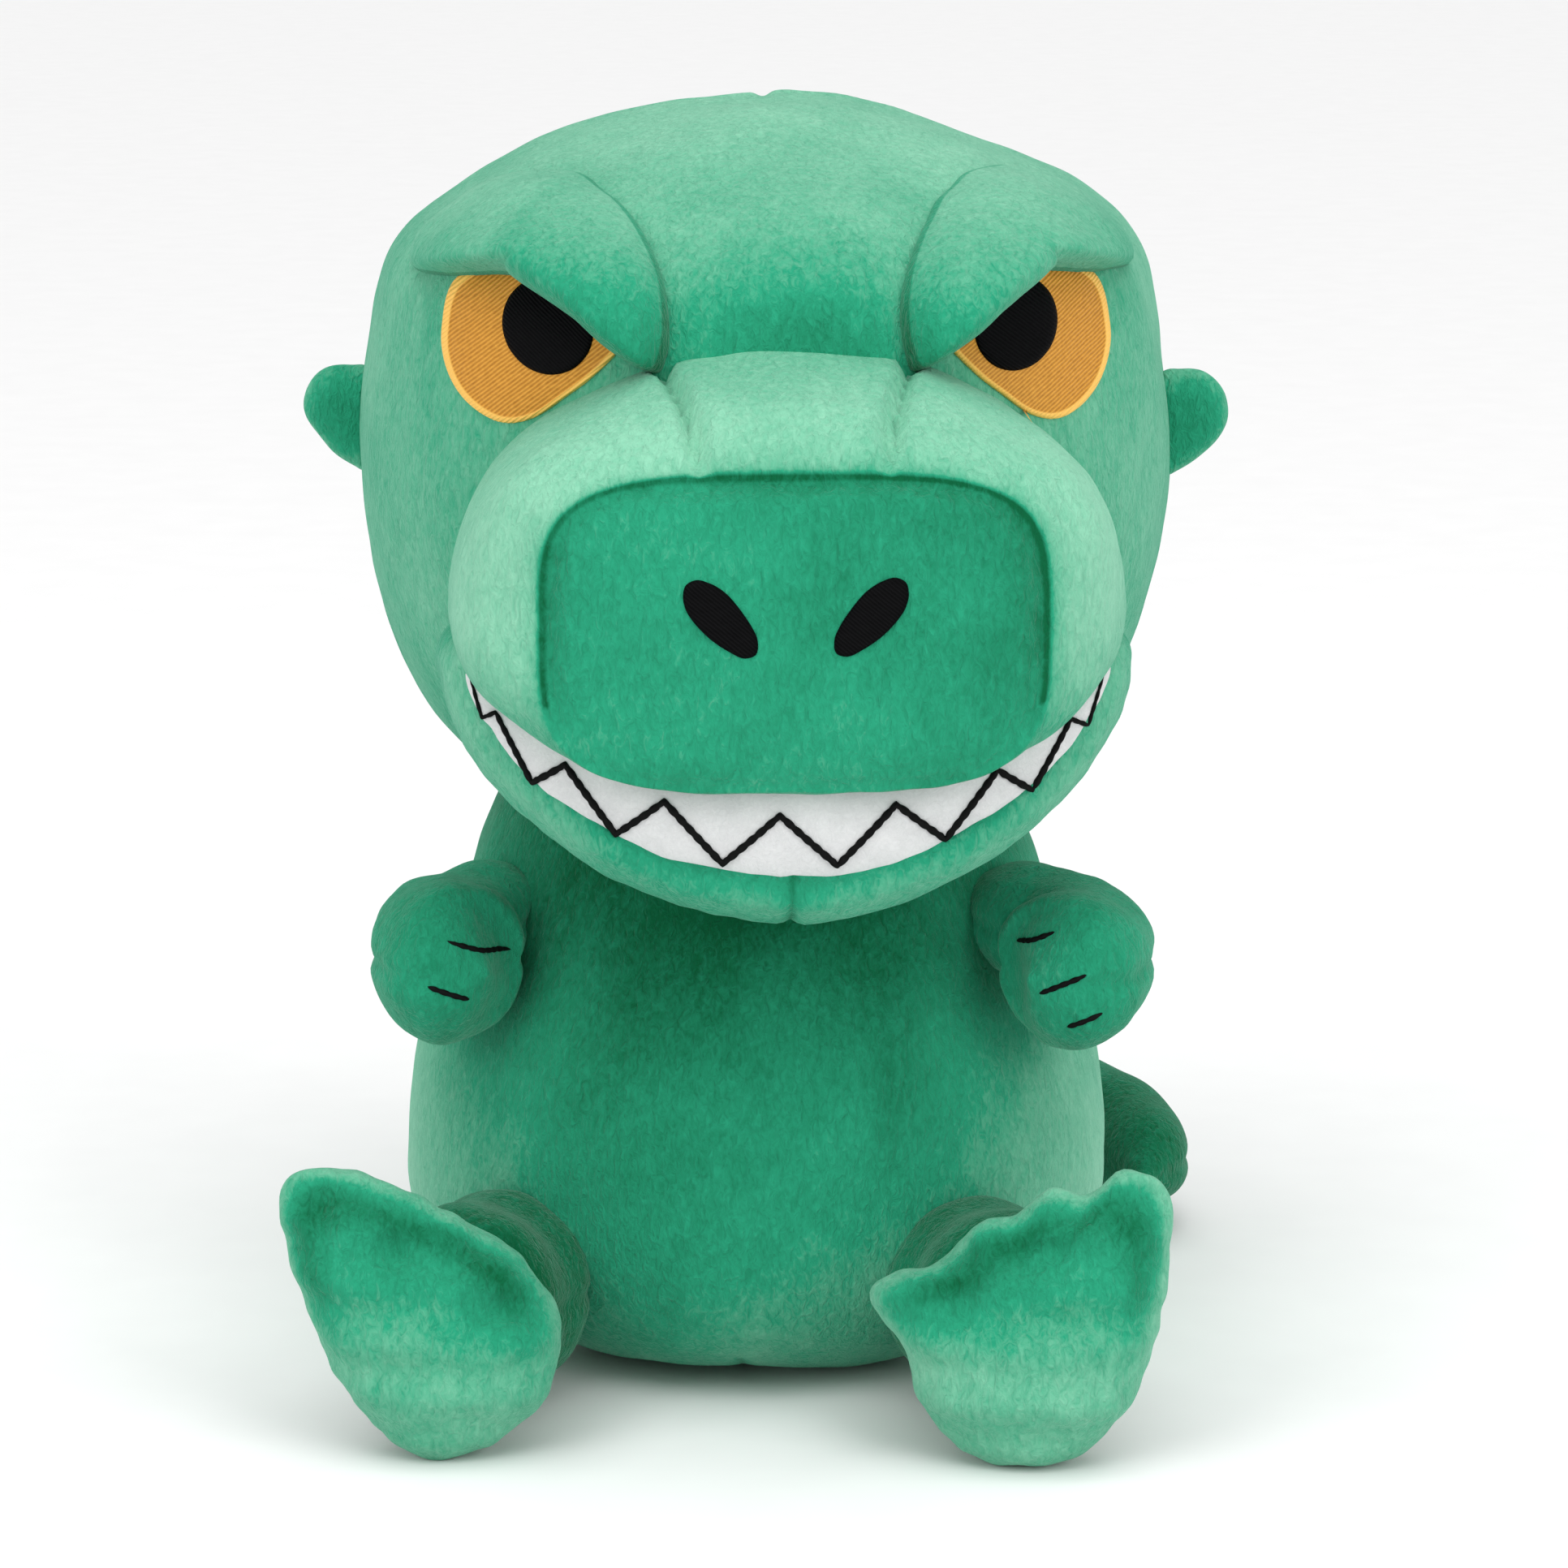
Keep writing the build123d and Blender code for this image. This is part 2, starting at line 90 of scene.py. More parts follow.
def by_key(table, key):
    """A row of numbers at this key, smoothly between the rows of a table with keys first."""
    rows = sorted(table)
    low = max([row for row in rows if row[0] <= key] or [rows[0]])
    high = min([row for row in rows if row[0] > key] or [rows[-1]])
    if low is high:
        return low[1:]
    index = rows.index(low)
    before, after = rows[max(index - 1, 0)], rows[min(index + 2, len(rows) - 1)]
    span = high[0] - low[0]
    part = (key - low[0]) / span
    out = []
    for k in range(1, len(low)):
        start = (high[k] - before[k]) / (high[0] - before[0]) * span
        end = (after[k] - low[k]) / (after[0] - low[0]) * span
        rise = high[k] - low[k]
        if start * rise <= 0:
            start = 0.0
        if end * rise <= 0:
            end = 0.0
        out.append(low[k] + start * part + (3 * rise - 2 * start - end) * part**2
                   + (start + end - 2 * rise) * part**3)
    return out


def fraction(value):
    """The value, kept between 0 and 1."""
    return min(max(value, 0.0), 1.0)


def from_pole(height):
    """How far a point of the unit sphere is from one pole to the other, from 0 to 1."""
    return asin(max(-1.0, min(1.0, height))) / pi + 0.5


def power(value, square):
    """A signed power, which squares up a circle: 2 leaves it round."""
    return abs(value) ** (2 / square) * (1 if value >= 0 else -1)


def ridge(distance, width):
    """A bell-shaped bump, 1 on a line and fading at this width from it."""
    return exp(-((distance / width) ** 2))


# %% [markdown]
# ## From a sphere to a finished piece
# Every form goes through the same steps: make the sphere, move its points, join doubles,
# point the faces outwards, shade it smooth and hang it on its body. The points carry a
# number that paints light and shade into the green: lighter on lit tops and, as a painted
# sheen, on edges seen from the side, darker on faces towards the viewer and in shade.

# %% Make, shape and hang a piece
def sphere(rings, segments, axis="Z"):
    """A unit ball whose poles lie on this axis."""
    bm = bmesh.new()
    bmesh.ops.create_uvsphere(bm, u_segments=segments, v_segments=rings, radius=1.0)
    if axis == "Y":
        bmesh.ops.rotate(bm, verts=bm.verts, matrix=Matrix.Rotation(pi / 2, 3, "X"))
    return bm


def shape(bm, place):
    """Move each point to the place in millimetres that the function gives for it."""
    # the fourth number of each place paints light and shade into the pile's colour: low is painted
    # shade, high is painted light and sheen
    painted_light_layer = bm.verts.layers.float.new("painted_light")
    edge = bm.verts.layers.float.new("edge")
    for vert in bm.verts:
        result = place(vert.co.normalized())
        vert.co = Vector(result[:3]) * MM
        vert[painted_light_layer] = result[3] if len(result) > 3 else 0.5
        vert[edge] = result[4] if len(result) > 4 else 0.0
    return bm


def ruffle(bm, size, depth, seed):
    """Uneven stuffing: move the surface in and out a little along its normals."""
    bm.normal_update()
    for vert in bm.verts:
        where = vert.co / (size * MM) + Vector((seed, 0, 0))
        vert.co += vert.normal * noise.noise(where) * depth * MM


def to_object(name, bm, body, material, replaces=(), place=None):
    """Finish the mesh as a piece that rides on a body and stands for CAD nodes."""
    bmesh.ops.remove_doubles(bm, verts=bm.verts, dist=1e-7)
    if place:
        bmesh.ops.transform(bm, verts=bm.verts, matrix=place)
    bmesh.ops.recalc_face_normals(bm, faces=bm.faces)
    for face in bm.faces:
        face.smooth = True
    mesh = bpy.data.meshes.new(name)
    bm.to_mesh(mesh)
    bm.free()
    piece = bpy.data.objects.new(name, mesh)
    bpy.context.scene.collection.objects.link(piece)
    mesh.materials.append(material)
    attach(piece, body)
    if replaces:
        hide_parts(*replaces)
    print(f"{name}: {len(mesh.polygons)} faces on {body}")
    return piece


def surface(piece):
    """What a piece's own surface is, for laying other pieces on it."""
    depsgraph = bpy.context.evaluated_depsgraph_get()
    depsgraph.update()
    return BVHTree.FromObject(piece, depsgraph)


def lay_on(tree, x, z, fallback):
    """How far back (y, mm) a straight line from in front first meets a surface."""
    hit = tree.ray_cast(Vector((x * MM, -0.3, z * MM)), Vector((0, 1, 0)))
    return hit[0].y / MM if hit[0] else fallback


# %% [markdown]
# ## Shader sums in plain Python
# A material is a small calculation. Wrapping a socket in a class lets the calculation be
# written as `rows * 0.5 + 0.5` rather than as a wall of Math nodes. Colours are mixed by a Mix
# node, because a Math node would turn them grey.

# %% A socket that can be used in sums
class Sum:
    def __init__(self, tree, socket):
        self.tree, self.socket = tree, socket

    def maths(self, operation, first, second=None, clamp=False):
        node = self.tree.nodes.new("ShaderNodeMath")
        node.operation = operation
        node.use_clamp = clamp
        for slot, value in zip(node.inputs, (first, second)):
            if isinstance(value, Sum):
                self.tree.links.new(value.socket, slot)
            elif value is not None:
                slot.default_value = value
        return Sum(self.tree, node.outputs[0])

    def __add__(self, other): return self.maths("ADD", self, other)
    def __radd__(self, other): return self.maths("ADD", other, self)
    def __sub__(self, other): return self.maths("SUBTRACT", self, other)
    def __rsub__(self, other): return self.maths("SUBTRACT", other, self)
    def __mul__(self, other): return self.maths("MULTIPLY", self, other)
    def __rmul__(self, other): return self.maths("MULTIPLY", other, self)
    def limit(self): return self.maths("ADD", self, 0.0, clamp=True)
    def wave(self): return self.maths("SINE", self)


class Finish:
    """A material with one Principled shader, its sockets set by name."""

    def __init__(self, name, **constants):
        self.material = bpy.data.materials.new(name)
        self.material.use_nodes = True
        self.tree = self.material.node_tree
        self.shader = self.tree.nodes["Principled BSDF"]
        for socket, value in constants.items():
            self.shader.inputs[socket.replace("_", " ")].default_value = value

    def node(self, kind, settings=None, **values):
        node = self.tree.nodes.new(kind)
        for setting, value in (settings or {}).items():
            setattr(node, setting, value)
        for socket, value in values.items():
            slot = node.inputs[socket.replace("_", " ")]
            if isinstance(value, Sum):
                self.tree.links.new(value.socket, slot)
            else:
                slot.default_value = value
        return node

    def output(self, node, name):
        return Sum(self.tree, node.outputs[name])

    def attribute(self, name):
        return self.output(self.node("ShaderNodeAttribute", {"attribute_name": name}), "Fac")

    def place(self, scale=(1, 1, 1), turn=(0, 0, 0)):
        """The piece's own coordinates, stretched and turned."""
        where = self.output(self.node("ShaderNodeTexCoord"), "Object")
        node = self.node("ShaderNodeMapping", Vector=where, Scale=scale, Rotation=turn)
        return self.output(node, "Vector")

    def noise(self, where, scale, detail=2.0, roughness=0.5, distortion=0.0):
        node = self.node("ShaderNodeTexNoise", Vector=where, Scale=scale, Detail=detail,
                         Roughness=roughness, Distortion=distortion)
        return self.output(node, "Fac")

    def mix(self, share, first, second):
        node = self.tree.nodes.new("ShaderNodeMix")
        node.data_type = "RGBA"
        for slot, value in ((node.inputs[0], share), (node.inputs[6], first), (node.inputs[7], second)):
            if isinstance(value, Sum):
                self.tree.links.new(value.socket, slot)
            elif isinstance(value, tuple):
                slot.default_value = (*value, 1.0)
            else:
                slot.default_value = value
        return Sum(self.tree, node.outputs[2])

    def into(self, socket, value):
        self.tree.links.new(value.socket, self.shader.inputs[socket])

    def bump(self, height, strength, distance):
        node = self.node("ShaderNodeBump", Height=height, Strength=strength, Distance=distance)
        self.into("Normal", self.output(node, "Normal"))


# %% [markdown]
# ## Green pile fabric
# Short polyester pile looks light where a brush has laid it flat or where it is seen from
# the side, and dark where the tips point at the eye. Four things make that look: a sheen
# for the edge, a patchy brush pattern in the colour, light and shade painted into the
# colour from a number on each point, and a fine bump of short clumps of fibres that run
# mostly downwards. A hair system would show each fibre, but it would not be part of the mesh.

# %% The pile
def pile(name, painted_shade, middle, light, clump=900.0, stretch=0.5):
    finish = Finish(name, Roughness=0.85, Specular_IOR_Level=0.08, Sheen_Weight=0.32,
                    Sheen_Roughness=0.4, Sheen_Tint=(0.55, 0.92, 0.74, 1.0))
    painted_light = finish.attribute("painted_light")
    brushed = finish.noise(finish.place((1, 1, 0.8)), 38.0, 3.0, 0.55, 0.6)
    patches = finish.noise(finish.place((1, 1, 1)), 14.0, 1.0)
    clumps = finish.noise(finish.place((1, 1, stretch)), clump, 3.0, 0.65, 1.2)
    tufts = finish.noise(finish.place((1, 1, stretch), (0.3, 0.2, 0)), clump * 0.42, 2.0, 0.6, 1.5)
    # painted light and shade from each point's number, plus brush patches and fibre clumps that vary at
    # random
    light_and_tone = painted_light + (brushed - 0.5) * 0.45 + (patches - 0.5) * 0.30
    light_and_tone = light_and_tone + (clumps - 0.5) * 0.45 + (tufts - 0.5) * 0.22
    low = finish.mix((light_and_tone * 2.0).limit(), painted_shade, middle)
    finish.into("Base Color", finish.mix((light_and_tone * 2.0 - 1.0).limit(), low, light))
    finish.bump(clumps * 0.7 + tufts * 0.4, 0.85, 0.0009)
    return finish.material


# the first green is the pile painted in shade, the last the pile painted lit and with a sheen
GREEN = pile("green_pile", (0.0006, 0.095, 0.034), (0.018, 0.290, 0.160), (0.225, 0.530, 0.365))

# %% [markdown]
# ## White felt, black thread and satin stitches
# Felt is matt, with a tangle of fibres a little darker between them. Embroidery is rows of
# parallel shiny thread, so its bump is a wave with a row about every half millimetre,
# and its colour is a little darker between the rows.

# %% Felt
def felt(name):
    finish = Finish(name, Roughness=0.95, Specular_IOR_Level=0.1, Sheen_Weight=0.25)
    fibres = finish.noise(finish.place((1, 1, 1)), 900.0, 4.0, 0.7, 2.0)
    cloudy = finish.noise(finish.place((1, 1, 1)), 160.0, 2.0)
    share = (fibres * 0.7 + cloudy * 0.5 - 0.1).limit()
    finish.into("Base Color", finish.mix(share, (0.46, 0.47, 0.475), (0.78, 0.78, 0.78)))
    finish.bump(fibres, 0.5, 0.0004)
    return finish.material


# %% Thread and satin
def thread(name, colour, shine):
    finish = Finish(name, Roughness=0.6, Specular_IOR_Level=0.05)
    rows = finish.noise(finish.place((1, 1, 1)), 1500.0, 2.0)
    finish.into("Base Color", finish.mix(rows, colour, shine))
    finish.bump(rows, 0.4, 0.0002)
    return finish.material


def satin(name, deep, bright, pitch, turn, shine, border=None):
    finish = Finish(name, Roughness=0.5, Specular_IOR_Level=shine)
    where = finish.place((1, 1, 1), (0, turn, 0))
    split = finish.node("ShaderNodeSeparateXYZ", Vector=where)
    wobble = finish.noise(where, 120.0, 2.0)
    across = finish.output(split, "Z") * (2 * pi / (pitch * MM)) + wobble * 5.0
    rows = across.wave() * 0.5 + 0.5
    broken = finish.noise(finish.place((0.25, 1, 1), (0, turn, 0)), 1700.0, 2.0)
    share = (rows * 0.55 + broken * 0.6 - 0.1).limit()
    colour = finish.mix(share, deep, bright)
    if border:
        ring = (finish.attribute("edge") - 0.90) * 40.0
        colour = finish.mix(ring.limit(), colour, border)
    finish.into("Base Color", colour)
    finish.bump(rows * 0.6 + broken * 0.5, 0.55, 0.00035)
    return finish.material


FELT = felt("tooth_felt")
BLACK_THREAD = thread("black_thread", (0.002, 0.002, 0.002), (0.008, 0.008, 0.008))
GOLD = satin("gold_satin", (0.34, 0.130, 0.010), (0.78, 0.37, 0.055), pitch=0.55,
             turn=radians(38), shine=0.2, border=(0.92, 0.52, 0.11))
BLACK = satin("black_satin", (0.0010, 0.0010, 0.0012), (0.0045, 0.0045, 0.005), pitch=0.5,
              turn=radians(-40), shine=0.03)
print("materials:", ", ".join(material.name for material in bpy.data.materials))

# %% [markdown]
# ## The head
# The head is a wide egg, full in the cheeks and at the brows. Its outline from the chin to
# the crown is drawn once and goes all the way round. The head is turned a few degrees on
# the body, so everything on the face is modelled straight and turned at the end. A seam
# runs up each side behind the ear, and one runs up the back to the crown.

# %% Head sizes
HEAD_TURN = radians(5.5)
FACE_SHIFT = 0.002  # metres towards +X
FACE = Matrix.Translation((FACE_SHIFT, 0, 0)) @ Matrix.Rotation(HEAD_TURN, 4, "Z")
HEAD_MID = 146.0  # height of the widest place
HEAD_Y = 3.0  # how far the middle of the head stands back
EAR_SEAM = 6.0  # how far back the side seam runs
HEAD_PROFILE = [  # radius, height
    (0, 84), (24, 85.5), (42, 92), (54, 103), (61.5, 117), (65, 132), (65.8, 146), (65.0, 159),
    (63.2, 171), (59.6, 180), (51.6, 187.4), (40.5, 193.2), (28.4, 198), (14.5, 201.8), (0, 203),
]
# painted light by height: the head is painted lighter up towards the crown, where the light from above
# falls, and darker down at the chin
HEAD_PAINTED_LIGHT = [(84, 0.35), (120, 0.62), (150, 0.66), (172, 0.64), (190, 0.76), (203, 0.88)]


def head_place(unit):
    radius, z = through(HEAD_PROFILE, from_pole(unit.z))
    around = atan2(unit.y, unit.x)
    x, y = radius * cos(around), radius * sin(around)
    shrink = 0.0
    # the side seam lies just behind the ears, the back seam in the middle behind
    shrink += 1.6 * ridge(y - EAR_SEAM, 1.5) - 0.8 * ridge(y - EAR_SEAM, 7.0)
    if y > EAR_SEAM:
        shrink += (1.5 * ridge(x, 1.4) - 0.7 * ridge(x, 7.0)) * (1.0 if z < 185 else 0.4)
    if z > 196 and y > -12:
        shrink += 0.4 * ridge(x, 1.2)
    scale = 1 - shrink / 62.0
    painted_light = by_key(HEAD_PAINTED_LIGHT, z)[0]
    # painted shade on the forehead between the brows
    if y < 0 and abs(x) < 22 and 160 < z < 186:
        painted_light -= 0.22 * ridge(x, 18) * ridge(z - 168, 14)
    return x * scale, y * scale + HEAD_Y, HEAD_MID + (z - HEAD_MID) * scale, painted_light


head_bm = shape(sphere(150, 240), head_place)
ruffle(head_bm, 22.0, 1.1, 3.0)
ruffle(head_bm, 7.0, 0.25, 9.0)
head = to_object("head", head_bm, "head", GREEN,
                 ("forehead_panel", "left_cheek_panel", "right_cheek_panel", "head_back_left_panel",
                  "head_back_right_panel", "head_stuffing"), place=FACE)
head_surface = surface(head)


def on_face(tree, x, z, fallback):
    """Depth in the face's own frame, where the head looks straight along -Y."""
    origin = FACE @ Vector((x * MM, -0.3, z * MM))
    ahead = FACE.to_3x3() @ Vector((0, 1, 0))
    hit = tree.ray_cast(origin, ahead)
    return hit[3] / MM - 300.0 if hit[0] else fallback


# %% [markdown]
# ## The snout
# Seen from in front the snout is a wide oval that squares up towards the flat nose panel.
# The table gives its rings from the nose back: how far along the sphere, the depth in
# front of the neck, the half width, the rise and drop about the widest line, and how
# square the ring is. The dip at 0.235 is the seam that joins the nose panel to the sides.

# %% Snout
SNOUT_Z = 131.0
SNOUT_RINGS = [
    (0.00, 88.0, 0.0, 0.0, 0.0, 3.0),
    (0.08, 87.8, 13.0, 8.2, 8.5, 3.0),
    (0.16, 87.0, 26.0, 15.6, 17.0, 3.6),
    (0.205, 86.0, 33.4, 20.0, 21.5, 4.0),
    (0.235, 83.9, 36.8, 22.4, 23.8, 4.1),
    (0.262, 83.5, 39.0, 24.2, 24.8, 3.8),
    (0.300, 81.6, 42.2, 27.2, 25.4, 3.2),
    (0.360, 77.0, 47.2, 30.6, 25.6, 2.9),
    (0.440, 68.5, 50.8, 34.2, 25.6, 2.5),
    (0.530, 58.0, 52.0, 37.0, 25.6, 2.2),
    (0.630, 47.0, 50.5, 38.0, 25.6, 2.1),
    (0.760, 36.0, 46.0, 36.0, 25.0, 2.0),
    (0.900, 28.0, 28.0, 24.0, 16.0, 2.0),
    (1.000, 25.0, 0.0, 0.0, 0.0, 2.0),
]

# painted light along the snout: the nose panel, which faces the viewer, painted dark, the seam groove
# round it painted darker still as shade, the lit sides and top painted light
SNOUT_PAINTED_LIGHT = [
    (0.0, 0.36), (0.2, 0.34), (0.236, 0.22), (0.246, 0.22), (0.262, 0.72), (0.34, 0.92),
    (0.5, 0.8), (0.7, 0.6), (1.0, 0.5),
]


def snout_place(unit):
    share = from_pole(unit.y)
    depth, width, rise, drop, square = by_key(SNOUT_RINGS, share)
    flat = hypot(unit.x, unit.z) or 1.0
    across, up = unit.x / flat, unit.z / flat
    x = width * power(across, square)
    z = SNOUT_Z + (rise if up > 0 else drop) * power(up, square)
    if up < 0:  # below, the nose panel rolls smoothly into the lip
        x = width * power(across, square + (1.85 - square) * fraction((share - 0.22) * 6.0))
        depth += 1.3 * ridge(share - 0.242, 0.022) * min(-2.0 * up, 1.0)
    # two seams run back over the top of the snout, from the nose panel to the forehead
    if share > 0.24 and up > 0:
        line = 14.0 + 6.0 * min((84.0 - depth) / 32.0, 1.2)
        dip = 3.0 * ridge(abs(x) - line, 1.2) - 0.9 * ridge(abs(x) - line, 8.0)
        dip *= min((share - 0.24) * 14.0, 1.0)
        z += (2.6 * ridge(x, 13.0) * min((share - 0.24) * 8.0, 1.0) * (share < 0.8) - dip) * up
        depth -= dip * 0.5
    painted_light = by_key(SNOUT_PAINTED_LIGHT, share)[0]
    # below, painted shade, a little lighter towards the sides
    if up < 0:
        painted_light += (0.38 + 0.22 * (x / 50.0) ** 2 - painted_light) * min(-up * 1.9, 1.0)
    # painted shade in the seam groove round the nose panel
    if up > -0.2 and 0.236 < share < 0.25:
        painted_light = 0.02
    return x, -depth, z, painted_light


snout_bm = shape(sphere(170, 220, "Y"), snout_place)
ruffle(snout_bm, 18.0, 0.9, 21.0)
ruffle(snout_bm, 6.0, 0.25, 5.0)
snout = to_object("snout", snout_bm, "head", GREEN,
                  ("snout_top_panel", "snout_left_panel", "snout_right_panel", "nose_panel",
                   "snout_stuffing"),
                  place=FACE)
snout_surface = surface(snout)

# %% [markdown]
# ## The jaw
# The jaw hangs under the snout like the lower half of an oval cup. Its padded rim rolls
# forwards round the teeth, and at the corners of the mouth it follows the cheeks back.

# %% Jaw
JAW_Z = 122.0
JAW_RINGS = [
    (0.00, 66.0, 0.0, 0.0, 0.0),
    (0.25, 67.0, 35.0, 20.0, 22.0),
    (0.33, 71.0, 42.6, 22.0, 27.6),
    (0.38, 77.0, 45.0, 22.0, 29.2),
    (0.43, 79.4, 47.2, 20.0, 31.8),
    (0.49, 78.2, 51.0, 18.0, 35.2),
    (0.56, 72.0, 53.0, 18.0, 38.4),
    (0.68, 57.0, 53.4, 18.0, 38.0),
    (0.84, 40.0, 44.0, 12.0, 31.0),
    (1.00, 32.0, 0.0, 0.0, 0.0),
]

# painted light along the jaw: the rolled rim round the teeth painted light, the chin below it and the
# parts behind it painted dark as shade
JAW_PAINTED_LIGHT = [(0.0, 0.1), (0.33, 0.15), (0.42, 0.38), (0.5, 0.52), (0.62, 0.25), (1.0, 0.1)]


def jaw_place(unit):
    share = from_pole(unit.y)
    depth, width, rise, drop = by_key(JAW_RINGS, share)
    flat = hypot(unit.x, unit.z) or 1.0
    across, up = unit.x / flat, unit.z / flat
    x, z = width * power(across, 1.78), JAW_Z + (rise if up > 0 else drop) * power(up, 1.85)
    depth -= 13.0 * (x / 53.0) ** 2 * (depth - 30.0) / 48.0
    dip = 0.9 * ridge(x, 1.0) - 0.3 * ridge(x, 6.0) if up < 0 and share > 0.36 else 0.0
    painted_light = by_key(JAW_PAINTED_LIGHT, share)[0]
    # a painted sheen on the sides seen edge-on, and painted shade in the middle seam
    painted_light += 0.22 * abs(across) - 0.25 * ridge(x, 0.8)
    return x, -(depth - dip * 0.7), z + dip, painted_light


jaw_bm = shape(sphere(150, 220, "Y"), jaw_place)
ruffle(jaw_bm, 11.0, 0.7, 13.0)
ruffle(jaw_bm, 3.5, 0.25, 2.0)
jaw = to_object("jaw", jaw_bm, "head", GREEN,
                ("jaw_left_panel", "jaw_right_panel", "jaw_stuffing"), place=FACE)

# %% [markdown]
# ## Teeth
# The teeth are one strip of white felt between lip and jaw. It is a grid bent round the
# mouth: across the grid goes from corner to corner, up the grid goes from jaw to lip.

# %% Felt strip
MOUTH_DEGREES = 82  # from the middle of the mouth to a corner
MOUTH = radians(MOUTH_DEGREES)


def mouth_point(across, up):
    """A place on the teeth, across from -1 to 1 and up from 0 (jaw) to 1 (lip)."""
    angle = across * MOUTH
    low = (48.0 * sin(angle), JAW_Z - 30.4 * cos(angle))
    high = (50.2 * sin(angle), SNOUT_Z - 22.0 * cos(angle))
    x, z = (low[k] + (high[k] - low[k]) * up for k in (0, 1))
    depth = 77.2 - 13.0 * (x / 53.0) ** 2 + 1.6 * sin(pi * min(up, 1.0))
    return x, -depth, z


strip_bm = bmesh.new()
bmesh.ops.create_grid(strip_bm, x_segments=120, y_segments=16, size=1.0)
for vert in strip_bm.verts:
    vert.co = Vector(mouth_point(vert.co.x, vert.co.y * 0.55 + 0.5)) * MM
bmesh.ops.recalc_face_normals(strip_bm, faces=strip_bm.faces)
teeth = to_object("teeth", strip_bm, "head", FELT, ("teeth_band",), place=FACE)
thicken = teeth.modifiers.new("felt_thickness", "SOLIDIFY")
thicken.thickness, thicken.offset = 1.5 * MM, 0.0
teeth_surface = surface(teeth)


# %% [markdown]
# ## The zigzag of the teeth
# The teeth are only drawn: black stitches run in a zigzag over the felt. Each run of thread
# is a thin tube along the surface, swelling a little at every stitch.

# %% A line of stitches
def stitches(points, radius, stitch=1.9):
    """A closed thin tube through the points, in millimetres, thicker in each stitch."""
    near = 0.01  # the share of the line over which its direction is measured
    length = sum((Vector(q) - Vector(p)).length for p, q in zip(points, points[1:]))
    steps = max(int(length / 0.3), 8)
    bm = bmesh.new()
    bmesh.ops.create_uvsphere(bm, u_segments=8, v_segments=steps, radius=1.0)
    painted_light, edge = bm.verts.layers.float.new("painted_light"), bm.verts.layers.float.new("edge")
    for vert in bm.verts:
        share = from_pole(vert.co.z)
        here = along(points, share)
        ahead = along(points, share + near if share + near <= 1.0 else 1.0 - near)
        line = ahead - along(points, max(share - near, 0.0))
        line = line.normalized() if line.length > 1e-6 else Vector((1, 0, 0))
        side = line.cross(Vector((0, 1, 0))).normalized()
        front = side.cross(line)
        flat = hypot(vert.co.x, vert.co.y) or 1.0
        size = radius * min(1.0, 6 * share, 6 * (1 - share)) ** 0.5
        size *= 0.78 + 0.3 * abs(sin(pi * share * length / stitch))
        vert.co = (here + (side * vert.co.x + front * vert.co.y) / flat * size) * MM
        vert[painted_light], vert[edge] = 0.5, 0.0
    return bm


def along(points, share):
    """A place on straight runs through the points, by share of their whole length."""
    runs = [(Vector(p), Vector(q)) for p, q in zip(points, points[1:])]
    left = share * sum((q - p).length for p, q in runs)
    for p, q in runs:
        if left <= (q - p).length:
            return p + (q - p) * (left / (q - p).length)
        left -= (q - p).length
    return runs[-1][1]


def add(target, source):
    """Put one bmesh into another."""
    mesh = bpy.data.meshes.new("part")
    source.to_mesh(mesh)
    source.free()
    target.from_mesh(mesh)
    bpy.data.meshes.remove(mesh)


TOOTH_PITCH = 20.8  # degrees between two teeth
TOOTH_SHIFT = -2.3  # degrees from the middle of the face
ZIGZAG_RADIUS, CLAW_RADIUS = 0.56, 0.45  # of the thread, in millimetres
zigzag = [mouth_point(-0.995, 0.75), mouth_point(-0.955, 0.30)]
for k in range(-3, 4):
    low, high = TOOTH_SHIFT + TOOTH_PITCH * (k - 0.5), TOOTH_SHIFT + TOOTH_PITCH * k
    zigzag += [mouth_point(low / MOUTH_DEGREES, 0.12), mouth_point(high / MOUTH_DEGREES, 0.60)]
last = TOOTH_SHIFT + TOOTH_PITCH * 3.5
zigzag += [mouth_point(last / MOUTH_DEGREES, 0.14), mouth_point(0.97, 0.72)]


def on_teeth(point):
    return point[0], on_face(teeth_surface, point[0], point[2], point[1]) - 0.2, point[2]


points = []
for p, q in zip(zigzag, zigzag[1:]):
    points += [on_teeth(Vector(p).lerp(Vector(q), k / 6)) for k in range(6)]
points.append(on_teeth(zigzag[-1]))
to_object("tooth_zigzag", stitches(points, ZIGZAG_RADIUS), "head", BLACK_THREAD,
          ("tooth_stitches",), place=FACE)

# %% [markdown]
# ## Brows, eyes and nostrils
# These are all flat shapes with a puffed front: the brows thick and stuffed, the eyes and
# nostrils a millimetre of satin stitches. One helper draws an outline round the sphere's
# equator and lays it on whatever is behind it.

# %% A puffed shape with a drawn outline
def cushion(outline, centre, behind, front, back, rings=48, segments=120, square=2.0,
            painted_light=None, way=None):
    """A pad facing -Y, or the way given: outline points (x, z), thickness in millimetres."""
    def place(unit):
        share = atan2(unit.z, unit.x) / (2 * pi)
        reach = hypot(unit.x, unit.z)
        edge = through(outline, share, closed=True)
        x = centre[0] + (edge[0] - centre[0]) * reach
        z = centre[1] + (edge[1] - centre[1]) * reach
        puff = max(1 - reach**square, 0.0) ** 0.5
        thick = front(x, z, reach) if callable(front) else front
        base = Vector((x, behind(x, z), z))
        outward = way(*base) if way else Vector((0, -1, 0))
        co = base + outward * (thick if unit.y < 0 else -back) * puff
        return co.x, co.y, co.z, (painted_light(x, z, reach) if painted_light else 0.5), reach
    return shape(sphere(rings, segments, "Y"), place)


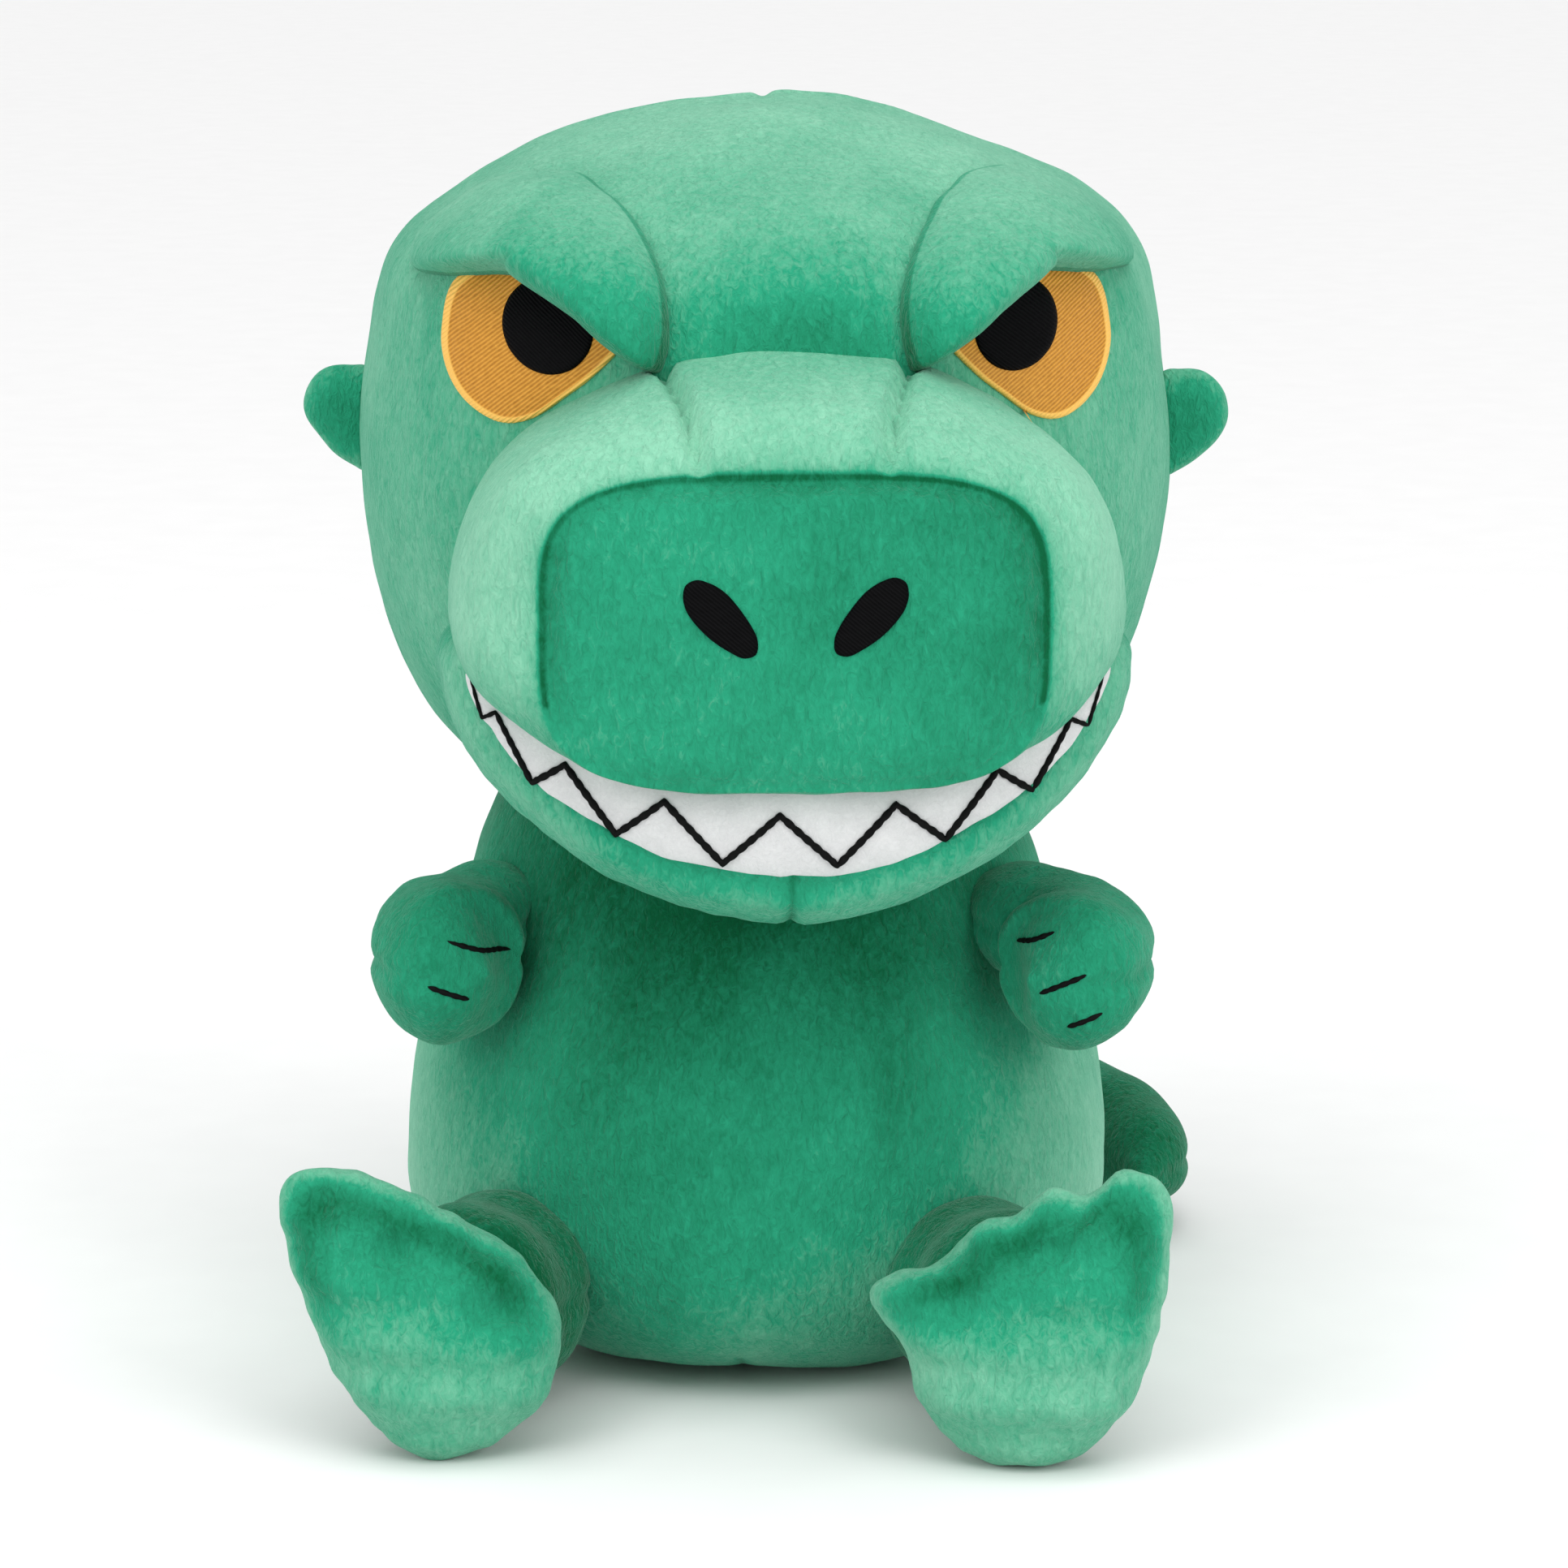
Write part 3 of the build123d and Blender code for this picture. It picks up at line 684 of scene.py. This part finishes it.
def even(outline, centre, count=24):
    """The same outline with points at even angles round the centre, for cushion()."""
    ring = [through(outline, k / 600, closed=True) for k in range(600)]
    out = []
    for k in range(count):
        angle = 2 * pi * k / count
        out.append(min(ring, key=lambda p: abs((atan2(p[1] - centre[1], p[0] - centre[0]) - angle + pi)
                                               % (2 * pi) - pi)))
    return out


def mirrored(points, side):
    return [(x * side, z) for x, z in points]


def face_depth(x, z):
    return min(on_face(head_surface, x, z, -20.0), on_face(snout_surface, x, z, -20.0))


BROW = [
    (19.0, 166.5), (17.6, 174.0), (19.0, 181.5), (24.0, 189.5), (31.0, 193.2), (39.0, 192.4),
    (46.6, 189.4), (53.6, 184.2), (58.8, 177.4), (52.8, 178.8), (44.0, 180.2), (37.0, 177.2),
    (30.0, 172.6), (24.0, 168.0),
]
EYE = [
    (52.4, 170.0), (51.6, 164.0), (48.5, 159.6), (43.5, 157.2), (38.5, 158.2), (33.5, 161.8),
    (28.5, 166.0), (25.0, 171.0), (30.0, 178.0), (41.0, 182.0), (50.0, 178.0),
]
NOSTRIL = [
    (7.2, 127.6), (5.6, 129.4), (6.6, 132.6), (10.4, 137.6), (14.4, 139.6), (16.6, 138.4),
    (16.2, 134.8), (12.4, 130.4),
]


def brow_behind(x, z):
    """The head surface a brow is sewn on."""
    radius = by_key([(height, out) for out, height in HEAD_PROFILE], z)[0]
    return HEAD_Y - sqrt(max(radius**2 - x**2, 0.0))


def brow_front(x, z, reach):
    low = 166.5 + max(abs(x) - 19.0, 0.0) * 0.42
    height = fraction((z - low) / 24.0)
    return (12.6 - 8.4 * height) * (1.0 - 0.62 * fraction((abs(x) - 36.0) / 22.0))


def off_head(x, y, z):
    return Vector((x, y - HEAD_Y, (z - HEAD_MID) * 0.6)).normalized()


# the brow is painted lighter towards its top, where the light falls, and dark at its rim, as painted
# shade where it meets the head
def brow_painted_light(x, z, reach):
    return 0.46 + 0.30 * fraction((z - 172) / 16.0) - 0.3 * (reach > 0.97)


SIDES = ((-1, "left"), (1, "right"))
for side, name in SIDES:
    centre = (33.0 * side, 182.0)
    outline = even(mirrored(BROW, side), centre, 36)
    brow = cushion(outline, centre, brow_behind, brow_front, 3.0, 70, 180, 2.7, brow_painted_light, off_head)
    ruffle(brow, 9.0, 0.5, 31.0 + side)
    to_object(f"{name}_brow_puff", brow, "head", GREEN, (f"{name}_brow",), FACE)
    centre = (40.0 * side, 169.5)
    outline = even(mirrored(EYE, side), centre, 40)
    eye = cushion(outline, centre, lambda x, z: face_depth(x, z) + 0.2,
                  lambda x, z, reach: 1.5 if reach > 0.9 else 1.2, 1.5, 60, 200, 14.0)
    to_object(f"{name}_eye_satin", eye, "head", GOLD, (f"{name}_eye",), place=FACE)
    spot = [(36.0 * side + 7.0 * cos(k * pi / 6), 172.4 + 7.2 * sin(k * pi / 6)) for k in range(12)]
    pupil = cushion(spot, (36.0 * side, 172.4), lambda x, z: face_depth(x, z) - 0.6,
                    1.3, 1.0, 30, 120, 14.0)
    to_object(f"{name}_pupil_satin", pupil, "head", BLACK,
              (f"{name}_pupil",), place=FACE)
    centre = (11.2 * side, 133.6)
    nostril = cushion(even(mirrored(NOSTRIL, side), centre, 24), centre,
                      lambda x, z: on_face(snout_surface, x, z, -87.0) + 0.2, 0.9, 1.2, 24, 90, 14.0)
    to_object(f"{name}_nostril_satin", nostril, "head", BLACK,
              (f"{name}_nostril",), place=FACE)

# %% [markdown]
# ## Ears
# Each ear is a small leaf of two layers, turned right side out and caught in the side seam
# of the head. It is thin, so its rim shows as a rounded edge.

# %% Ears
EAR = [
    (64, 158), (68, 159.2), (72, 158.6), (75, 155.6), (75.6, 151.4),
    (73.4, 147.0), (69, 143.2), (64, 141.6), (63, 150),
]
EAR_SHIFT = 1.5  # how far each ear is moved towards +X
for side, name in SIDES:
    leaf = [(x + EAR_SHIFT * side, z) for x, z in EAR]
    centre = (68.5 * side + 1.5, 150.6)
    # each ear is painted lighter towards its rounded rim: a painted sheen
    ear = cushion(even(mirrored(leaf, side), centre, 30), centre, lambda x, z: 3.0,
                  2.7, 2.6, 36, 90, 2.6,
                  painted_light=lambda x, z, reach: 0.40 + 0.25 * reach**3)
    ruffle(ear, 6.0, 0.4, 41.0 + side)
    to_object(f"{name}_ear_leaf", ear, f"{name}_ear", GREEN,
              (f"{name}_ear_front", f"{name}_ear_back"))

# %% [markdown]
# ## Body
# The body is a pear sewn from a belly, two back panels and a round seat. The profile is
# turned round, then the side seams, the back seam and two short darts are pressed in.

# %% Body
PEAR = [
    (0.0, 0.0), (18, 0.0), (32, 0.4), (44, 3.4), (53, 10.5), (57.6, 20),
    (58.6, 31), (57.2, 44), (53.4, 57), (48.6, 70), (44.6, 82), (39.4, 94),
    (30, 105), (16, 111), (0.0, 112.0),
]

# painted shadow: the body is painted darker and darker upwards, darkest at the neck, in the shade under
# the head
BODY_PAINTED_LIGHT = [(0, 0.62), (20, 0.48), (45, 0.32), (62, 0.24), (76, 0.12), (92, 0.0), (112, 0.0)]


def body_place(unit):
    radius, z = through(PEAR, from_pole(unit.z))
    around = atan2(unit.y, unit.x)
    x, y = radius * cos(around), radius * sin(around)
    dip = 1.4 * ridge(y - 8.0, 1.4) - 0.6 * ridge(y - 8.0, 6.0)
    if y > 0:
        dip += 1.4 * ridge(x, 1.3) - 0.6 * ridge(x, 6.0)
    else:
        dart = fraction((z - 76.0) / 6.0) + fraction((8.0 - z) / 6.0)
        dip += 1.6 * ridge(x, 1.1) * dart
    scale = 1 - dip / 55.0
    painted_light = by_key(BODY_PAINTED_LIGHT, z)[0]
    # a painted sheen on the sides, which are seen edge-on
    painted_light += 0.48 * (abs(x) / 57.0) ** 3
    # painted shade in the dart grooves
    if y < 0 and (z > 78 or z < 6):
        painted_light -= 0.4 * ridge(x, 0.9)
    return x * scale, y * scale, z, painted_light


body_bm = shape(sphere(150, 240), body_place)
ruffle(body_bm, 26.0, 1.2, 51.0)
ruffle(body_bm, 8.0, 0.3, 55.0)
for vert in body_bm.verts:
    vert.co.z = max(vert.co.z, 0.0)
to_object("body", body_bm, "torso", GREEN,
          ("seat_panel", "belly_panel", "back_left_panel", "back_right_panel", "body_stuffing",
           "pellet_bag"))

# %% [markdown]
# ## Arms
# The arms are short tubes that bend forwards and end in a mitten. A tube along a bent line
# is a sphere pulled along that line: its poles are the two ends, its rings the sections.

# %% A stuffed tube along a bent line
def sausage(points, radii, rings=60, segments=90, up=Vector((0, 0, 1)), seam=0.9, painted_light=0.42):
    """points in millimetres, radii (across, up) at even shares along them."""
    def place(unit):
        share = from_pole(unit.z)
        here = Vector(through(points, share))
        ahead = Vector(through(points, min(share + 0.02, 1.0)))
        line = (ahead - Vector(through(points, max(share - 0.02, 0.0)))).normalized()
        side = line.cross(up).normalized()
        top = side.cross(line)
        across, high = through(radii, share)
        angle = atan2(unit.y, unit.x)
        dip = seam * ridge(sin(angle) * high, 1.4) * min(1.0, 3.5 * share, 3.5 * (1 - share))
        co = here + side * cos(angle) * (across - dip) + top * sin(angle) * (high - dip)
        return co.x, co.y, co.z, painted_light
    return shape(sphere(rings, segments), place)


ARM_SHIFT = {-1: 3.2, 1: 2.4}  # how far each hand is moved towards +X
CLAWS = {  # the two ends (x, z) of every stitch
    -1: (((-49, 75.6), (-40, 71.6)), ((-52, 68.6), (-45.6, 66.0))),
    1: (((41, 74), (47, 77.4)), ((44.6, 67.8), (52, 71.6)), ((49, 62.6), (54.6, 65.2))),
}
for side, name in SIDES:
    out = ARM_SHIFT[side]
    spine = [(34 * side, -19, 75.5), (40 * side + out * 0.3, -24, 74.5),
             (47.6 * side + out, -30, 72.6), (51 * side + out, -38, 70.6),
             (47.5 * side + out, -46.5, 69.6), (42.5 * side + out, -50.5, 69.8)]
    sizes = [(0.0, 0.0), (8.2, 8.4), (10.2, 10.0), (12.0, 12.0), (11.2, 12.0), (0.0, 0.0)]
    arm = sausage(spine, sizes)
    ruffle(arm, 9.0, 0.9, 61.0 + side)
    ruffle(arm, 4.0, 0.3, 65.0)
    arm_piece = to_object(f"{name}_arm_mitten", arm, f"{name}_arm", GREEN,
                          (f"{name}_arm_sleeve", f"{name}_palm_panel", f"{name}_arm_stuffing"))
    arm_surface = surface(arm_piece)
    claws = bmesh.new()
    for first, last in CLAWS[side]:
        run = [(first[0] + (last[0] - first[0]) * k / 10 + out,
                first[1] + (last[1] - first[1]) * k / 10) for k in range(11)]
        line = [(x, lay_on(arm_surface, x, z, -50.0), z) for x, z in run]
        add(claws, stitches(line, CLAW_RADIUS))
    to_object(f"{name}_claw_thread", claws, f"{name}_arm", BLACK_THREAD,
              (f"{name}_claw_stitches",))

# %% [markdown]
# ## Legs and feet
# The legs are tubes that come out of the body low at the front. The feet stand upright on
# their heels, so their soles face forwards. Each foot is a bag of two layers: plump at the
# heel and thin along the toes, where stitches gather it into three soft scallops.

# %% Feet
FEET = {  # middle, outline, and the dimples under the toes
    -1: ((-47.0, 24.0), [
        (-70.0, 40.0), (-67.4, 44.4), (-61.5, 45.2), (-54.4, 42.8), (-47.6, 40.2), (-42.0, 37.8),
        (-36.8, 34.4), (-32.4, 31.2), (-28.6, 26.6), (-26.0, 20.5), (-26.9, 14.2), (-30.0, 7.6),
        (-36.8, 2.2), (-45.0, 0.0), (-52.4, 2.4), (-59.4, 10.6), (-64.6, 20.6), (-68.2, 29.5),
    ], ((-63.5, 40.0), (-51.0, 34.0), (-35.5, 25.5))),
    1: ((46.0, 22.0), [
        (21.9, 25.0), (24.2, 29.6), (29.0, 30.4), (34.0, 33.6), (38.0, 38.2), (44.0, 39.4),
        (49.0, 43.2), (55.0, 42.6), (59.6, 46.2), (65.4, 45.2), (67.8, 40.0), (67.4, 31.0),
        (66.0, 23.0), (62.6, 12.0), (54.5, 2.6), (44.0, 0.0), (34.8, 2.8), (29.4, 9.4), (27.0, 17.2),
    ], ((33.5, 27.0), (46.5, 35.0), (59.0, 38.5))),
}

for side, name in SIDES:
    centre, outline, dimples = FEET[side]

    def swell(x, z, reach):
        toe = fraction((z - 12.0 - (abs(x) - 45.0) * 0.1) / 30.0)
        return 11.0 - 5.5 * toe - 2.0 * sum(ridge(hypot(x - u, z - w), 3.6) for u, w in dimples)

    def lean(x, z):
        toe = fraction((z - 10.0) / 36.0)
        return -78.5 + 2.2 * toe - 0.5 * sin(z * 0.7)

    # painted light on the foot: painted shade in the dimples under the toes and in the groove inside
    # the rim, a painted sheen on the rim itself, and darker towards the toes
    def foot_painted_light(x, z, reach):
        painted_shade = sum(ridge(hypot(x - u, z - w), 5.5) for u, w in dimples)
        toe = fraction((z - 16.0) / 14.0)
        return (0.72 - 0.26 * toe + 0.30 * toe * ridge(reach - 1.0, 0.08)
                - 0.24 * toe * ridge(reach - 0.78, 0.14) - 0.16 * min(painted_shade, 1.0))

    foot = cushion(even(outline, centre, 48), centre, lean, swell, 8.5, 90, 200, 2.3, painted_light=foot_painted_light)
    ruffle(foot, 10.0, 0.8, 71.0 + side)
    ruffle(foot, 3.6, 0.45, 75.0 + side)
    # the shins are painted dark all over: painted shade, low under the body
    shin = sausage([(32 * side, -36, 18), (36 * side, -46, 18), (40 * side, -55, 18.5),
                    (44 * side, -66, 19), (46 * side, -76, 19)],
                   [(0.0, 0.0), (13.6, 14.2), (14.6, 15.2), (14.2, 15.0), (0.0, 0.0)], painted_light=0.1)
    ruffle(shin, 9.0, 0.8, 81.0 + side)
    for piece_name, bm, nodes in (
        (f"{name}_foot", foot, (f"{name}_instep_panel", f"{name}_sole_panel")),
        (f"{name}_shin", shin, (f"{name}_leg_sleeve", f"{name}_leg_stuffing")),
    ):
        for vert in bm.verts:
            vert.co.z = max(vert.co.z, 0.0)
        to_object(piece_name, bm, f"{name}_leg", GREEN, nodes)

# %% [markdown]
# ## Tail
# The tail curls round on the table. It is the same tube along an arc, thick at the body and
# thin at the tip, with the two long seams of its upper and lower panel.

# %% Tail
CURL_X, CURL_Y, CURL_R = 35.0, 43.0, 32.0  # middle and radius of the curl
CURL_START, CURL_STEP = 162, 22.5  # degrees, and degrees from point to point
CURL_Z, CURL_FALL = 20.5, 1.1  # height at the body, and how much lower each point is
curl = []
for k in range(9):
    angle = radians(CURL_START - k * CURL_STEP)
    x, y = CURL_X + CURL_R * cos(angle), CURL_Y + CURL_R * sin(angle)
    curl.append((x, y, CURL_Z - CURL_FALL * k))
girth = [(0.0, 0.0), (13.0, 13.4), (14.0, 14.2), (13.2, 13.4), (12.0, 12.4), (10.6, 11.0),
         (9.2, 9.4), (7.2, 7.8), (0.0, 0.0)]
# the tail is painted dark all over: painted shade behind the body
tail = sausage(curl, girth, 110, 90, seam=1.3, painted_light=0.16)
ruffle(tail, 11.0, 0.9, 91.0)
to_object("tail_curl", tail, "tail", GREEN,
          ("tail_upper_panel", "tail_lower_panel", "tail_stuffing"))

# %% [markdown]
# ## Floor, light and camera
# A pale floor runs on to the horizon. A broad sun lights it as an overcast sky would, and
# two soft lamps stand in front. The world is seen at full strength, which makes the
# background white, but gives less than half of that as light. The camera stands almost
# straight in front, a little above the head and to one side.

# %% Floor
FLOOR_REACH = 30.0  # metres each way
floor_bm = bmesh.new()
bmesh.ops.create_grid(floor_bm, x_segments=1, y_segments=1, size=FLOOR_REACH)
floor_mesh = bpy.data.meshes.new("floor")
floor_bm.to_mesh(floor_mesh)
floor_bm.free()
floor = bpy.data.objects.new("floor", floor_mesh)
bpy.context.scene.collection.objects.link(floor)
paper = Finish("paper", Roughness=0.9, Specular_IOR_Level=0.1)
grain = paper.noise(paper.place(), 60.0, 2.0)
paper.into("Base Color", paper.mix(grain, (0.86, 0.86, 0.86), (0.90, 0.90, 0.90)))
floor_mesh.materials.append(paper.material)
floor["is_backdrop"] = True

# %% Lights
AMBIENT = 0.4  # the world's strength as light
world = bpy.data.worlds.new("studio")
bpy.context.scene.world = world
world.use_nodes = True
world.node_tree.nodes["Background"].inputs["Color"].default_value = (1.0, 1.0, 1.0, 1.0)
seen = world.node_tree.nodes.new("ShaderNodeLightPath")
around = Sum(world.node_tree, seen.outputs["Is Camera Ray"]) * (1.0 - AMBIENT) + AMBIENT
world.node_tree.links.new(around.socket, world.node_tree.nodes["Background"].inputs["Strength"])


def lamp(name, place, size, power):
    light = bpy.data.lights.new(name, "AREA")
    light.size, light.energy = size, power
    item = bpy.data.objects.new(name, light)
    bpy.context.scene.collection.objects.link(item)
    item.location = place
    item.rotation_euler = (Vector((0, 0, 0.1)) - Vector(place)).to_track_quat("-Z", "Y").to_euler()


sun = bpy.data.lights.new("sky", "SUN")
sun.energy, sun.angle = 2.1, radians(70)
sky = bpy.data.objects.new("sky", sun)
bpy.context.scene.collection.objects.link(sky)
sky.rotation_euler = (radians(12), 0.0, 0.0)
lamp("front_left", (-0.8, -1.0, 0.6), 0.7, 6.0)
lamp("front_right", (0.9, -0.9, 0.6), 0.7, 7.0)

# %% Camera
AIM_X, AIM_Y, AIM_Z = 4.8, 3.4, 90.0  # what the camera looks at, in millimetres
camera_data = bpy.data.cameras.new("camera")
camera_data.sensor_width, camera_data.lens = 36.0, 125.0
camera = bpy.data.objects.new("camera", camera_data)
bpy.context.scene.collection.objects.link(camera)
side_angle, lift_angle, distance = radians(2.5), radians(12.0), 0.9
target = Vector((AIM_X * cos(side_angle), AIM_Y * sin(side_angle), AIM_Z)) * MM
away = Vector((sin(side_angle) * cos(lift_angle), -cos(side_angle) * cos(lift_angle),
               sin(lift_angle)))
camera.location = target + away * distance
camera.rotation_euler = (-away).to_track_quat("-Z", "Y").to_euler()
bpy.context.scene.camera = camera
bpy.context.scene.view_settings.view_transform = "Standard"

# %% Sizes
visual_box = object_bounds()
for label, (low, high) in (("CAD", cad_box), ("visual", visual_box)):
    print(label, [round(v / MM, 1) for v in (*low, *high)])
